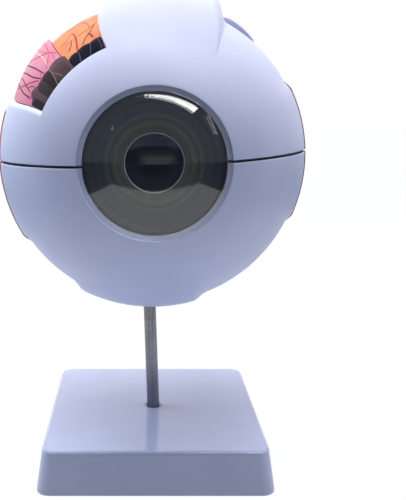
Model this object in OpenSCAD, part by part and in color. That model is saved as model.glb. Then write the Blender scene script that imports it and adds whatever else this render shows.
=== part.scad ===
// Anatomical model of a human eye, six times life size, on a rod and a square base.
//
// Every piece of the eyeball is drawn in the eye's own frame: its centre is the origin, the
// optical axis runs towards -Y and the seam between the two halves is the plane z = 0.
// on_stand() then puts that frame on top of the leaning rod.
//
// Polar angles are measured from the optical axis (0 at the cornea, 180 at the back).
// Turn angles go round the optical axis, from +X towards +Z.

/* [Base] */
// Width of the square base where it stands on the table
base_w = 103.4; // [80:0.2:140]
// Width of the base at its top face
base_top_w = 99; // [76:0.2:136]
// Height of the base
base_h = 18.5; // [16:0.5:30]
// Radius of the base's upright corners
base_corner_r = 6; // [3:0.5:12]
// Rounding between the top face and the sides
base_edge_r = 1.6; // [0.5:0.1:3]
// Wall of the hollow base moulding
base_wall = 3; // [2:0.1:4]
// Thickness of the ribs under the base
rib_t = 2.2; // [1.5:0.1:4]
// Distance from the table up to the ribs
rib_clear = 3; // [1:0.5:5]

/* [Rod] */
// Radius of the steel rod
rod_r = 3; // [2:0.25:4.5]
// Lean of the rod and the eyeball, towards -X
rod_lean = 2.1; // [0:0.1:5]
// Radius of the boss that holds the rod in the base
foot_boss_r = 9; // [7:0.5:14]
// Floor left under the rod
foot_floor = 3; // [2:0.5:5]
// Radial running clearance of the rod in the base and in the eyeball
rod_fit = 0.05; // [0.02:0.01:0.1]
// Chamfer round the rod's hole in the base
foot_chamfer = 1; // [0.5:0.1:2]

/* [Eyeball] */
// Outer radius of the sclera
sclera_r = 70; // [60:0.5:80]
// Height of the eyeball's centre above the base, measured along the rod
eye_height = 124.5; // [115:0.5:160]
// Distance from the rod's axis to the eyeball's centre
eye_offset = 3.5; // [0:0.5:8]
// Wall of the sclera
sclera_wall = 5; // [4:0.25:6]
// Wall of the choroid
choroid_wall = 2.4; // [1.5:0.1:3]
// Wall of the retina
retina_wall = 1.5; // [1:0.1:2.5]
// Gap between the nested layers
layer_gap = 0.2; // [0.1:0.05:0.4]
// Height of each half's recess along the seam
seam_groove_h = 0.4; // [0.2:0.1:1]
// Depth of the recess along the seam
seam_groove_d = 1; // [0.5:0.1:2]
// Radius of the pegs that locate the upper half
peg_r = 1.2; // [0.8:0.1:1.4]
// Length of a peg on each side of the seam
peg_len = 4; // [2:0.5:6]

/* [Front of the eye] */
// Outer radius of the cornea's flange
cornea_r = 30.5; // [28:0.25:33]
// Thickness of the cornea's flange
flange_t = 2.4; // [1.5:0.1:3]
// How far the flange stands proud of the sclera
flange_proud = 0.4; // [0:0.1:1]
// Radius of curvature of the cornea's dome
dome_curve_r = 47; // [42:0.5:55]
// Radius of the dome where it meets the flange
dome_base_r = 29.2; // [24:0.1:30]
// Wall of the dome
dome_wall = 2.2; // [1.5:0.1:3]
// Outer radius of the iris
iris_r = 28.2; // [24:0.1:29]
// Thickness of the iris
iris_t = 2.2; // [1.5:0.1:3.5]
// Depth of the iris behind the cornea's top
chamber_depth = 18.5; // [15:0.5:22]
// Radius of the pupil
pupil_r = 11.8; // [6:0.1:16]
// Chamfer round the pupil
pupil_chamfer = 0.7; // [0.3:0.1:1.2]
// Number of furrows round the iris
furrows = 6; // [3:1:9]
// Depth of a furrow in the iris
furrow_d = 0.35; // [0.1:0.05:0.6]
// Radius of the lens
lens_r = 25.5; // [20:0.25:27]
// Radius of curvature of the lens's front
lens_front_curve_r = 60; // [45:1:80]
// Radius of curvature of the lens's back
lens_back_curve_r = 36; // [30:1:50]
// Thickness of the lens at its edge
lens_edge_t = 4; // [2:0.25:6]
// Gap between moving pieces of the eyeball
free_gap = 0.3; // [0.2:0.05:0.6]
// Wall of the hollow vitreous body
vitreous_wall = 2.5; // [1.5:0.1:4]

/* [Ciliary body] */
// Height of the ciliary body's rim, where the retina begins
ora_rim = 0.5; // [0.2:0.1:2]
// Number of ciliary processes round the lens
processes = 64; // [24:4:80]
// Width of a process at its rounded head
process_head_w = 1.5; // [0.8:0.1:2]
// Width of a process at its tail
process_tail_w = 0.8; // [0.4:0.1:1.2]
// Radius that the tails of the processes reach
process_tail_r = 39.5; // [34:0.5:42]

/* [Window in the upper half] */
// Polar angle of the window's front edge
window_front = 46.2; // [40:0.2:50]
// Polar angle of the window's rear edge
window_rear = 104; // [80:1:120]
// Turn angle of the window's edge beside the superior rectus
window_turn_0 = 110; // [95:0.5:125]
// Turn angle where the retina's field meets the choroid's field
window_turn_mid = 130; // [120:0.5:140]
// Turn angle of the window's lower edge
window_turn_1 = 154; // [145:0.5:165]
// How much smaller than the sclera the ball is that shapes the choroid's field
choroid_field_less = 12; // [6:0.5:20]
// Offset of that ball from the eye's centre
choroid_field_off = 14; // [6:0.5:20]
// Turn angle of that offset
choroid_field_turn = 125; // [110:1:150]
// How much smaller than the sclera the ball is that shapes the retina's field
retina_field_less = 5; // [2:0.5:12]
// Offset of that ball from the eye's centre
retina_field_off = 4.6; // [2:0.1:8]
// Turn angle of that offset
retina_field_turn = 118; // [105:1:135]
// How far the lobes at the window's front stand proud of the fields
lobe_proud = 0.6; // [0.2:0.1:1.5]

/* [Muscles] */
// Height of the superior rectus over the sclera
superior_h = 9.5; // [4:0.25:12]
// Height of the inferior rectus over the sclera
inferior_h = 2.4; // [1:0.1:5]
// Height of the medial and the lateral rectus over the sclera
side_h = 1.3; // [0.8:0.1:4]
// Height of the two oblique muscles over the sclera
oblique_h = 3; // [1:0.1:5]
// Distance from the optical axis to the superior rectus's wall on the +X side
superior_right = 33.8; // [26:0.2:40]
// Rounding along the top edges of the superior rectus
superior_round = 5; // [1:0.25:7]
// How much the muscles swell away from the globe behind its equator
muscle_swell = 35; // [10:1:60]
// Polar angle of the rectus muscles' cut ends
muscle_cut = 119; // [106:1:130]

/* [Optic nerve] */
// Radius of the nerve
nerve_r = 8; // [6:0.25:10]
// Wall of the nerve's sheath
sheath_wall = 3; // [2:0.25:4]
// Length of the nerve outside the sclera
nerve_len = 22; // [12:1:35]
// How far the nerve is bared of its sheath
nerve_bare = 5; // [2:0.5:10]
// Angle from the rear pole towards -X
nerve_nasal = 15; // [8:1:25]
// Angle from the rear pole downwards
nerve_down = 11.5; // [10.5:0.5:20]
// Radius of the central artery
artery_r = 1.5; // [1:0.1:2]
// Radius of the central vein
vein_r = 1.7; // [1:0.1:2.2]

/* [Hidden] */

$fn = 96;
hull_fn = 32;
touch = 0.01;
far = 200;

// Room round the lens, and how far the vitreous body's dish reaches over the lens's edge
lens_gap = 0.5;
dish_lip = 1;
// Step of the linings behind the ciliary body's rim, in degrees
lining_step = 0.5;

// Layers of the eyeball, from the outside in
sclera_in = sclera_r - sclera_wall;
choroid_out = sclera_in - layer_gap;
choroid_in = choroid_out - choroid_wall;
retina_out = choroid_in - layer_gap;
retina_in = retina_out - retina_wall;
vitreous_r = retina_in - free_gap;

// Stations along the optical axis, as distances in front of the eye's centre
counterbore_r = cornea_r + free_gap;
flange_front = sqrt(sclera_r * sclera_r - cornea_r * cornea_r) + flange_proud;
flange_back = flange_front - flange_t;
counterbore_floor = flange_back - layer_gap / 2;
dome_centre = flange_front - sqrt(dome_curve_r * dome_curve_r - dome_base_r * dome_base_r);
dome_top = dome_centre + dome_curve_r;
iris_front = dome_top - chamber_depth;
iris_back = iris_front - iris_t;
lens_top = iris_back - lens_gap;
lens_rim_front = lens_top - cap_height(lens_front_curve_r, lens_r);
lens_rim_back = lens_rim_front - lens_edge_t;
front_bore_r = iris_r + free_gap;
lens_bore_r = lens_r + lens_gap;
vitreous_front = lens_rim_back + dish_lip;
ciliary_back = vitreous_front + free_gap;
ora_polar = acos((ciliary_back + ora_rim) / choroid_out);
lining_polar = ora_polar + lining_step;

// Bands on the sclera: turn angles of the two edges, height, polar angles where the ramp in
// front starts and ends, polar angle where the white tendon ends and the red muscle starts
superior = [45, 130, superior_h, 44, 88, 86];
inferior = [237.5, 287.5, inferior_h, 50, 80, 104];
medial = [156.5, 211.5, side_h, 48, 78, 75.6];
lateral = [-26.5, 25.5, side_h, 48, 78, 75.6];
superior_slant = [44, 60.5, oblique_h, 80, 87, 87];
inferior_slant = [300, 332.8, oblique_h, 92, 102, 101];
band_steps = 12;
// Degrees that the other cut ends lie behind or in front of the rectus muscles' ends
inferior_cut_later = 4;
oblique_cut_later = 9;
tendon_cut_sooner = 3;
superior_left = -sclera_r * cos(window_turn_0) - free_gap;

peg_turns = [45, 135, 225, 315];
peg_ring_r = (sclera_in + sclera_r - seam_groove_d) / 2;
peg_fit = 0.08;

// Lobes at the window's front: [polar angle, turn angle, radius]
muscle_lobes = [[52.8, 134, 6.8], [54.5, 140, 4.4], [54, 144.3, 5], [57, 148.7, 3.2], [53.5, 151.8, 4.6]];
serrata_lobes = [[50.6, 125.2, 4], [50.7, 119.6, 4.8], [50.6, 113, 5.3]];

white = [0.93, 0.93, 0.97];
tendon_white = [0.9, 0.9, 0.95];
flesh = [0.72, 0.18, 0.2];
clear = [0.85, 0.92, 0.95, 0.35];

function cap_height(r, w) = r - sqrt(r * r - w * w);
function polar_point(r, a) = r * [sin(a), cos(a)];

// Rod frame: origin where the rod's axis meets the base's top face, +Z up along the rod
module along_rod() {
    translate([0, 0, base_h]) rotate([0, -rod_lean, 0]) children();
}

// Eye frame, see the top of the file
module on_stand() {
    along_rod() translate([eye_offset, 0, eye_height]) children();
}

// Turns a profile of [radius, distance in front of the centre] round the optical axis
module turned(from = 0, to = 360) {
    rotate([90, 0, 0]) rotate([0, 0, from]) rotate_extrude(angle = to - from) children();
}

// A straight cylinder on the optical axis
module axial(r, from, to) {
    rotate([90, 0, 0]) translate([0, 0, from]) cylinder(r = r, h = to - from);
}

// A cylinder that points from the centre to a place on the globe
module radial(polar, turn, r, from, to) {
    rotate([0, -turn, 0]) rotate([0, 0, polar]) rotate([90, 0, 0]) translate([0, 0, from])
        cylinder(r = r, h = to - from);
}

// Part of a ring between two radii and two polar angles
module layer_2d(r_in, r_out, from, to) {
    intersection() {
        difference() {
            circle(r = r_out);
            circle(r = r_in);
        }
        polygon(concat([[0, 0]], [for (i = [0:4]) polar_point(far, from + (to - from) * i / 4)]));
    }
}

module layer(r_in, r_out, from, to, turn_from = 0, turn_to = 360) {
    turned(turn_from, turn_to) layer_2d(r_in, r_out, from, to);
}

module above(z) {
    translate([-far / 2, -far / 2, z]) cube([far, far, far / 2]);
}

module below(z) {
    translate([-far / 2, -far / 2, z - far / 2]) cube([far, far, far / 2]);
}

module slab_y(from, to) {
    translate([-far / 2, from, -far / 2]) cube([far, to - from, far]);
}

function smooth(t) = let (u = max(0, min(1, t))) u * u * (3 - 2 * u);

// Radius of a band's outer face at a polar angle
function band_r(b, a) = sclera_r + b[2] * smooth((a - b[3]) / (b[4] - b[3]))
                        + muscle_swell * (1 - cos(max(0, a - 90)));

// A band round part of the sclera: it rises out of it on a smooth ramp, runs level to the
// equator and leaves the globe behind it. r_in is the radius that it is filled down to.
module band(b, r_in, from, to) {
    stations = [for (i = [0:band_steps]) from + (to - from) * i / band_steps];
    inner = [for (a = stations) polar_point(r_in, a)];
    outer = [for (i = [band_steps:-1:0]) polar_point(band_r(b, stations[i]), stations[i])];
    turned(b[0], b[1]) polygon(concat(inner, outer));
}

// Upright walls of the superior rectus: they follow the window's edge on the -X side, narrow
// towards the front and are rounded at the top
module superior_outline() {
    lopsided = superior_right - superior_left;
    front = [for (a = [35:5:90]) [superior_left * sin(a), -sclera_r * cos(a)]];
    intersection() {
        linear_extrude(height = far / 2) polygon(concat(
            [for (p = front) [-p[0], p[1]]], [[-superior_left, far / 4], [superior_right, far / 4]],
            [for (i = [len(front) - 1:-1:0]) [front[i][0] + lopsided, front[i][1]]]));
        rotate([90, 0, 0]) translate([0, 0, -far / 4]) linear_extrude(height = far / 2) union() {
            top = sclera_r + superior_h + muscle_swell * 0.15;
            translate([-superior_left, 0])
                square([superior_left + superior_right, top - superior_round]);
            translate([superior_round - superior_left, 0])
                square([superior_left + superior_right - 2 * superior_round, top]);
            for (x = [superior_round - superior_left, superior_right - superior_round])
                translate([x, top - superior_round]) circle(r = superior_round);
        }
    }
}

// The white tendon, rooted in the wall of the sclera
module tendon(b) {
    band(b, sclera_r - sclera_wall / 2, b[3] + 1, b[5]);
}

// The red muscle, lying on the sclera
module muscle(b, cut_later = 0) {
    band(b, sclera_r + layer_gap / 2, b[5] + 0.1, muscle_cut + cut_later);
}

// Recess all round the seam, on both sides of the plane z = 0
module seam_groove() {
    difference() {
        translate([0, 0, -seam_groove_h]) cylinder(r = far / 2, h = 2 * seam_groove_h);
        translate([0, 0, -seam_groove_h - touch])
            cylinder(r = sclera_r - seam_groove_d, h = 2 * seam_groove_h + 2 * touch);
    }
}

module pegs(r, from, to) {
    for (turn = peg_turns) rotate([0, 0, turn]) translate([peg_ring_r, 0, from])
        cylinder(r = r, h = to - from);
}

// What is cut from both halves of the sclera
module sclera_inside() {
    sphere(r = sclera_in);
    axial(front_bore_r, 0, far / 2);
    axial(counterbore_r, counterbore_floor, far / 2);
    seam_groove();
}

// Balls whose outer faces are the two fields, raised by proud
module choroid_ball(proud = 0) {
    translate(choroid_field_off * [cos(choroid_field_turn), 0, sin(choroid_field_turn)])
        sphere(r = sclera_r - choroid_field_less + proud);
}

module retina_ball(proud = 0) {
    translate(retina_field_off * [cos(retina_field_turn), 0, sin(retina_field_turn)])
        sphere(r = sclera_r - retina_field_less + proud);
}

// Scalloped field at the window's front, one disc for each lobe
module lobes(list, grow, r_in, r_out, turn_from, turn_to) {
    root = min([for (l = list) l[0]]);
    intersection() {
        layer(r_in, r_out, window_front + 0.3 - grow, 75, turn_from, turn_to);
        union() {
            for (l = list) radial(l[0], l[1], l[2] + grow, r_in - 10, r_out + 10);
            layer(r_in - 5, r_out + 5, window_front - 1, root, turn_from - 1, turn_to + 1);
        }
    }
}

// Points down the nerve, from the eye's centre
module along_nerve() {
    rotate([0, 0, nerve_nasal]) rotate([-90 - nerve_down, 0, 0]) children();
}

// ---------------------------------------------------------------- stand

// Rounded square slab with tapering sides, spanned by a disc in each corner
module tapered_slab(w0, w1, h, r, edge_r) {
    hull() for (x = [-1, 1], y = [-1, 1]) {
        translate([x * (w0 / 2 - r), y * (w0 / 2 - r), 0]) cylinder(r = r, h = touch, $fn = hull_fn);
        translate([x * (w1 / 2 - r), y * (w1 / 2 - r), h - edge_r])
            rotate_extrude($fn = hull_fn) intersection() {
                union() {
                    translate([r - edge_r, 0]) circle(r = edge_r, $fn = 24);
                    translate([0, -edge_r]) square([r - edge_r, 2 * edge_r]);
                }
                square([r, edge_r]);
            }
    }
}

module base() {
    taper = (base_w - base_top_w) / base_h;
    inner_h = base_h - base_wall;
    color(white) difference() {
        union() {
            difference() {
                tapered_slab(base_w, base_top_w, base_h, base_corner_r, base_edge_r);
                translate([0, 0, -touch])
                    tapered_slab(base_w - 2 * base_wall, base_w - 2 * base_wall - taper * inner_h,
                                 inner_h + touch, base_corner_r - base_wall, 0.5);
            }
            for (turn = [0, 90]) rotate([0, 0, turn])
                translate([-base_w / 2 + base_wall, -rib_t / 2, rib_clear])
                    cube([base_w - 2 * base_wall, rib_t, base_h - base_wall - rib_clear + touch]);
            cylinder(r = foot_boss_r, h = inner_h + touch);
        }
        along_rod() {
            translate([0, 0, foot_floor - base_h]) cylinder(r = rod_r + rod_fit, h = base_h);
            translate([0, 0, -foot_chamfer])
                cylinder(r1 = rod_r + rod_fit, r2 = rod_r + rod_fit + 2 * foot_chamfer, h = 2 * foot_chamfer);
        }
    }
}

rod_bottom = foot_floor - base_h + rod_fit;
rod_top = eye_height - sclera_in + 0.6;
rod_chamfer = 0.5;

module support_rod() {
    color([0.62, 0.64, 0.68]) along_rod() rotate_extrude()
        polygon([[0, rod_bottom], [rod_r - rod_chamfer, rod_bottom], [rod_r, rod_bottom + rod_chamfer],
                 [rod_r, rod_top - rod_chamfer], [rod_r - rod_chamfer, rod_top], [0, rod_top]]);
}

// ---------------------------------------------------------------- lower half

socket_boss_r = 7;
socket_boss_top = -(retina_out + layer_gap);

module rod_socket(r, from, to) {
    translate([-eye_offset, 0, from]) cylinder(r = r, h = to - from);
}

module sclera_lower() {
    color(white) on_stand() difference() {
        union() {
            difference() {
                union() {
                    sphere(r = sclera_r);
                    tendon(medial);
                    tendon(lateral);
                    tendon(inferior);
                }
                sclera_inside();
            }
            rod_socket(socket_boss_r, -sclera_in - 1, socket_boss_top);
        }
        above(0);
        rod_socket(rod_r + rod_fit, -far / 2, rod_top - eye_height + layer_gap / 2);
        along_nerve() cylinder(r = nerve_r + layer_gap / 2, h = far);
        pegs(peg_r, -peg_len, 1);
    }
}

module choroid_lower() {
    color([0.55, 0.12, 0.1]) on_stand() difference() {
        layer(choroid_in, choroid_out, lining_polar, 180);
        above(0);
        rod_socket(socket_boss_r + layer_gap, -far / 2, 0);
        along_nerve() cylinder(r = nerve_r + layer_gap / 2, h = far);
    }
}

module retina_lower() {
    color([0.95, 0.62, 0.4]) on_stand() difference() {
        layer(retina_in, retina_out, lining_polar, 180);
        above(0);
        along_nerve() cylinder(r = nerve_r + layer_gap / 2, h = far);
    }
}

// Ring behind the iris, with a row of processes that reach in towards the lens
module ciliary_ring() {
    foot = lens_rim_front - 0.3;
    turned() difference() {
        intersection() {
            layer_2d(1, choroid_out, 5, ora_polar);
            translate([lens_bore_r, ciliary_back]) square([far, far]);
        }
        translate([0, iris_back]) square([front_bore_r, far]);
        intersection() {
            circle(r = vitreous_r + free_gap);
            polygon([[0, 0], [lens_bore_r + 2, foot + 1], [process_tail_r, ciliary_back + 1.6],
                     [far, ciliary_back + 1.6], [far, 0]]);
        }
    }
}

module process_2d() {
    head = process_head_w / 2;
    translate([lens_bore_r + 0.6 + head, 0]) circle(r = head, $fn = 24);
    polygon([[lens_bore_r + 0.6 + head, -head], [process_tail_r, -process_tail_w / 2],
             [process_tail_r, process_tail_w / 2], [lens_bore_r + 0.6 + head, head]]);
}

module ciliary_processes() {
    rotate([90, 0, 0]) translate([0, 0, ciliary_back])
        linear_extrude(height = iris_back - 1 - vitreous_front)
            for (i = [0:processes - 1]) rotate([0, 0, (i + 0.5) * 360 / processes]) process_2d();
}

module ciliary_body() {
    ciliary_ring();
    ciliary_processes();
}

module ciliary_body_lower() {
    color([0.45, 0.22, 0.2]) on_stand() difference() {
        ciliary_body();
        above(0);
    }
}

module inferior_rectus() {
    color(flesh) on_stand() muscle(inferior, inferior_cut_later);
}

module inferior_oblique() {
    color(flesh) on_stand() muscle(inferior_slant, oblique_cut_later);
}

module medial_rectus_lower() {
    color(flesh) on_stand() difference() {
        muscle(medial);
        seam_groove();
        above(0);
    }
}

module lateral_rectus_lower() {
    color(flesh) on_stand() difference() {
        muscle(lateral);
        seam_groove();
        above(0);
    }
}

vessel_pitch = 2.4;
vessel_stub = 2.5;

module optic_nerve() {
    color([0.95, 0.88, 0.6]) on_stand() along_nerve() difference() {
        rotate_extrude() polygon([[0, retina_in + 0.4], [nerve_r - 1, retina_in + 0.4], [nerve_r, retina_in + 1.4],
                                  [nerve_r, sclera_r + nerve_len - 0.8], [nerve_r - 0.8, sclera_r + nerve_len],
                                  [0, sclera_r + nerve_len]]);
        translate([-vessel_pitch, 0, sclera_r]) cylinder(r = artery_r + layer_gap / 4, h = far);
        translate([vessel_pitch, 0, sclera_r]) cylinder(r = vein_r + layer_gap / 4, h = far);
    }
}

// Sheath of the nerve, flared where it grows out of the sclera
module nerve_sheath() {
    r_in = nerve_r + layer_gap / 2;
    r_out = nerve_r + sheath_wall;
    end = sclera_r + nerve_len - nerve_bare;
    flare = 3;
    color([0.9, 0.85, 0.75]) on_stand() difference() {
        along_nerve() rotate_extrude() difference() {
            union() {
                translate([r_in, sclera_r - 3]) square([r_out - r_in, end - sclera_r + 3]);
                translate([r_out - touch, sclera_r - 3]) square([flare, 3 + flare]);
            }
            translate([r_out + flare, sclera_r + flare]) circle(r = flare);
            translate([r_out - 1, end - 1]) difference() {
                square(2);
                circle(r = 1);
            }
        }
        sphere(r = sclera_r + layer_gap / 2);
        above(0);
    }
}

module central_artery() {
    color([0.8, 0.1, 0.1]) on_stand() along_nerve()
        translate([-vessel_pitch, 0, sclera_r]) cylinder(r = artery_r, h = nerve_len + vessel_stub);
}

module central_vein() {
    color([0.15, 0.25, 0.65]) on_stand() along_nerve()
        translate([vessel_pitch, 0, sclera_r]) cylinder(r = vein_r, h = nerve_len + vessel_stub);
}

module seam_pegs() {
    color([0.8, 0.8, 0.82]) on_stand() pegs(peg_r, -peg_len, peg_len - 0.5);
}

// ---------------------------------------------------------------- upper half

module sclera_upper() {
    color(white) on_stand() difference() {
        union() {
            sphere(r = sclera_r);
            tendon(medial);
            tendon(lateral);
            intersection() {
                tendon(superior);
                superior_outline();
            }
        }
        sclera_inside();
        below(layer_gap / 2);
        layer(sclera_in - 5, far / 2, window_front, window_rear, window_turn_0, window_turn_1);
        pegs(peg_r + peg_fit, -1, peg_len);
    }
}

// The choroid's shell, and its field that fills the lower part of the window
module choroid_upper() {
    color([0.96, 0.62, 0.68]) on_stand() union() {
        difference() {
            layer(choroid_in, choroid_out, lining_polar, 180);
            below(layer_gap / 2);
            layer(choroid_in - 5, sclera_r, ora_polar, window_rear - 0.3, window_turn_0,
                  window_turn_mid - 0.15);
        }
        difference() {
            intersection() {
                layer(choroid_in, far / 2, lining_polar, window_rear - 0.3,
                      window_turn_mid, window_turn_1 - 0.3);
                choroid_ball();
            }
            lobes(muscle_lobes, layer_gap / 2, choroid_out, far / 2, window_turn_mid - 1, window_turn_1 + 1);
        }
    }
}

// The retina's shell, and its field that shows through the choroid
module retina_upper() {
    color([0.98, 0.65, 0.35]) on_stand() difference() {
        union() {
            layer(retina_in, retina_out, lining_polar, 180);
            intersection() {
                layer(retina_in, far / 2, lining_polar + 0.2, window_rear - 0.6,
                      window_turn_0 + 0.3, window_turn_mid - 0.3);
                retina_ball();
            }
        }
        below(layer_gap / 2);
        lobes(serrata_lobes, layer_gap / 2, choroid_out, far / 2, window_turn_0 - 1, window_turn_mid + 1);
    }
}

module ciliary_body_upper() {
    color([0.45, 0.22, 0.2]) on_stand() difference() {
        ciliary_body();
        below(layer_gap / 2);
    }
}

module ciliary_muscle_lobes() {
    color([0.42, 0.33, 0.36]) on_stand() intersection() {
        lobes(muscle_lobes, 0, choroid_out + layer_gap / 2, far / 2, window_turn_mid, window_turn_1 - 0.3);
        choroid_ball(lobe_proud);
    }
}

module ora_serrata_lobes() {
    color([0.13, 0.14, 0.2]) on_stand() intersection() {
        lobes(serrata_lobes, 0, choroid_out + layer_gap / 2, far / 2, window_turn_0 + 0.3,
              window_turn_mid - 0.1);
        retina_ball(lobe_proud);
    }
}

module superior_rectus() {
    color(flesh) on_stand() intersection() {
        muscle(superior);
        superior_outline();
    }
}

module superior_oblique() {
    color(tendon_white) on_stand() difference() {
        muscle(superior_slant, -tendon_cut_sooner);
        translate([superior_right + free_gap - far, -far / 2, 0]) cube([far, far, far / 2]);
    }
}

module medial_rectus_upper() {
    color(flesh) on_stand() difference() {
        muscle(medial);
        seam_groove();
        below(layer_gap / 2);
    }
}

module lateral_rectus_upper() {
    color(flesh) on_stand() difference() {
        muscle(lateral);
        seam_groove();
        below(layer_gap / 2);
    }
}

// ---------------------------------------------------------------- inside and front

// The vitreous body's outline, shrunk all round by inset; its front is dished for the lens
module vitreous_2d(inset) {
    dish_r = lens_back_curve_r + free_gap;
    dish_centre = lens_rim_back - cap_height(lens_back_curve_r, lens_r) + lens_back_curve_r;
    difference() {
        intersection() {
            circle(r = vitreous_r - inset);
            translate([0, -far]) square([far, far + vitreous_front - inset]);
        }
        translate([0, dish_centre]) circle(r = dish_r + inset);
        translate([0, lens_rim_back - free_gap - inset]) square([lens_r + free_gap + inset, far]);
    }
}

module vitreous_body() {
    color(clear) on_stand() turned() difference() {
        vitreous_2d(0);
        vitreous_2d(vitreous_wall);
    }
}

module lens() {
    color(clear) on_stand() turned() intersection() {
        translate([0, lens_top - lens_front_curve_r]) circle(r = lens_front_curve_r);
        translate([0, lens_rim_back - cap_height(lens_back_curve_r, lens_r) + lens_back_curve_r])
            circle(r = lens_back_curve_r);
        translate([0, -far]) square([lens_r, 2 * far]);
    }
}

// Flat ring with a chamfered pupil and furrows all round its front
module iris() {
    step = (iris_r - pupil_r - 4) / furrows;
    color([0.42, 0.4, 0.22]) on_stand() turned() difference() {
        translate([pupil_r, iris_back]) square([iris_r - pupil_r, iris_t]);
        polygon([[pupil_r - touch, iris_front - pupil_chamfer], [pupil_r + pupil_chamfer, iris_front + touch],
                 [pupil_r - touch, iris_front + touch]]);
        for (i = [0:furrows - 1]) {
            r = pupil_r + 2 + (i + 0.5) * step;
            polygon([[r - step / 3, iris_front + touch], [r, iris_front - furrow_d], [r + step / 3, iris_front + touch]]);
        }
    }
}

module cornea() {
    color(clear) on_stand() turned() difference() {
        intersection() {
            union() {
                translate([0, dome_centre]) circle(r = dome_curve_r);
                translate([0, flange_back]) square([cornea_r, flange_t]);
            }
            translate([0, flange_back]) square([cornea_r, far]);
        }
        translate([0, dome_centre]) circle(r = dome_curve_r - dome_wall);
    }
}

base();
support_rod();
sclera_lower();
choroid_lower();
retina_lower();
ciliary_body_lower();
inferior_rectus();
inferior_oblique();
medial_rectus_lower();
lateral_rectus_lower();
optic_nerve();
nerve_sheath();
central_artery();
central_vein();
seam_pegs();
sclera_upper();
choroid_upper();
retina_upper();
ciliary_body_upper();
ciliary_muscle_lobes();
ora_serrata_lobes();
superior_rectus();
superior_oblique();
medial_rectus_upper();
lateral_rectus_upper();
vitreous_body();
lens();
iris();
cornea();
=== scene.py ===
"""Sectional eye model on a rod and a square base: materials, detailed pieces, lights and camera.

The eyeball's pieces are drawn in the eye's own frame, in millimetres: its centre is the origin,
the optical axis runs towards -Y and the seam is the plane z = 0. place() puts a point of that
frame into the part's own frame, in metres. Polar angles are measured from the optical axis,
turn angles go round it from +X towards +Z, both in degrees.
"""
from math import acos, asin, atan2, cos, degrees, hypot, pi, radians, sin, sqrt, tan

import bmesh
import bpy
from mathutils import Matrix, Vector, noise


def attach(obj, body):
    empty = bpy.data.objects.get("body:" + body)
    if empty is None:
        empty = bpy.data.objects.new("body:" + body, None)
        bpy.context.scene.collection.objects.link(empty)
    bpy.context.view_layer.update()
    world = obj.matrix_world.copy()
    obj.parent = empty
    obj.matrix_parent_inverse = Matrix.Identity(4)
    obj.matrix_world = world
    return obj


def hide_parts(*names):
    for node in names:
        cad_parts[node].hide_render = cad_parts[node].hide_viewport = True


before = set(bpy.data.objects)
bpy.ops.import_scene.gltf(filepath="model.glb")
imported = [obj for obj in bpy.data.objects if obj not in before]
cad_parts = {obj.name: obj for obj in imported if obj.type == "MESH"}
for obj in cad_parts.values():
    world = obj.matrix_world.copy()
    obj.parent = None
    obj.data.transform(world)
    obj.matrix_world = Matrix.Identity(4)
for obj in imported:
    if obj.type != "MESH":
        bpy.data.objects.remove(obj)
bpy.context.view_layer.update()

# ---- sizes, as in the CAD source

MM = 0.001
LEAN = radians(2.1)
BASE_W, BASE_TOP_W, BASE_H, BASE_CORNER_R, BASE_EDGE_R, BASE_WALL = 103.4, 99.0, 18.5, 6.0, 1.6, 3.0
ROD_R, ROD_FIT, FOOT_BOSS_R, FOOT_FLOOR, FOOT_CHAMFER = 3.0, 0.05, 9.0, 3.0, 1.0
RIB_T, RIB_CLEAR = 2.2, 3.0
EYE_OFFSET, EYE_HEIGHT = 3.5, 124.5
R = 70.0
LAYER_GAP, FREE_GAP = 0.2, 0.3
SCLERA_IN = R - 5.0
CHOROID_OUT = SCLERA_IN - LAYER_GAP
CHOROID_IN = CHOROID_OUT - 2.4
RETINA_OUT = CHOROID_IN - LAYER_GAP
RETINA_IN = RETINA_OUT - 1.5
SEAM_HALF, SEAM_DEPTH, FLOOR_GROOVE = 0.5, 1.7, 1.2
CORNEA_R, FLANGE_T, FLANGE_PROUD = 30.5, 2.4, 0.4
COUNTERBORE_R = CORNEA_R + FREE_GAP
FLANGE_FRONT = sqrt(R * R - CORNEA_R * CORNEA_R) + FLANGE_PROUD
FLANGE_BACK = FLANGE_FRONT - FLANGE_T
COUNTERBORE_FLOOR = FLANGE_BACK - LAYER_GAP / 2
DOME_R, DOME_WALL, DOME_BASE_R = 47.0, 2.2, 29.2
DOME_CENTRE = FLANGE_FRONT - sqrt(DOME_R * DOME_R - DOME_BASE_R * DOME_BASE_R)
IRIS_R, PUPIL_R, IRIS_T, CHAMBER_DEPTH = 28.2, 11.8, 2.2, 18.5
IRIS_FRONT = DOME_CENTRE + DOME_R - CHAMBER_DEPTH
IRIS_BACK = IRIS_FRONT - IRIS_T
FRONT_BORE_R = IRIS_R + FREE_GAP
LENS_R, LENS_EDGE_T, LENS_FRONT_R, LENS_BACK_R = 25.5, 4.0, 60.0, 36.0
LENS_TOP = IRIS_BACK - 0.5
LINING_POLAR = 47.2
WINDOW_FRONT, WINDOW_REAR, WINDOW_MID, WINDOW_TURN_1 = 46.2, 104.0, 130.0, 154.0
PINK_BALL = {"off": 14.0, "off_turn": 125.0, "ball_r": R - 12.0}
ORANGE_BALL = {"off": 4.6, "off_turn": 118.0, "ball_r": R - 5.0}
SUPERIOR_LEFT, SUPERIOR_LEFT_MOST, SUPERIOR_RIGHT, SUPERIOR_H, SUPERIOR_ROUND = 24.75, 21.9, 33.8, 9.5, 5.0
SUPERIOR_FRONT, SUPERIOR_LEVEL, SUPERIOR_END = 44.0, 88.0, 86.0
SIDE_H, SIDE_FRONT, SIDE_END = 1.3, 48.0, 75.6
INFERIOR_H, INFERIOR_FRONT, INFERIOR_END = 2.4, 50.0, 104.0
MEDIAL_0, MEDIAL_1, LATERAL_0, LATERAL_1 = 156.5, 211.5, -26.5, 25.5
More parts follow.
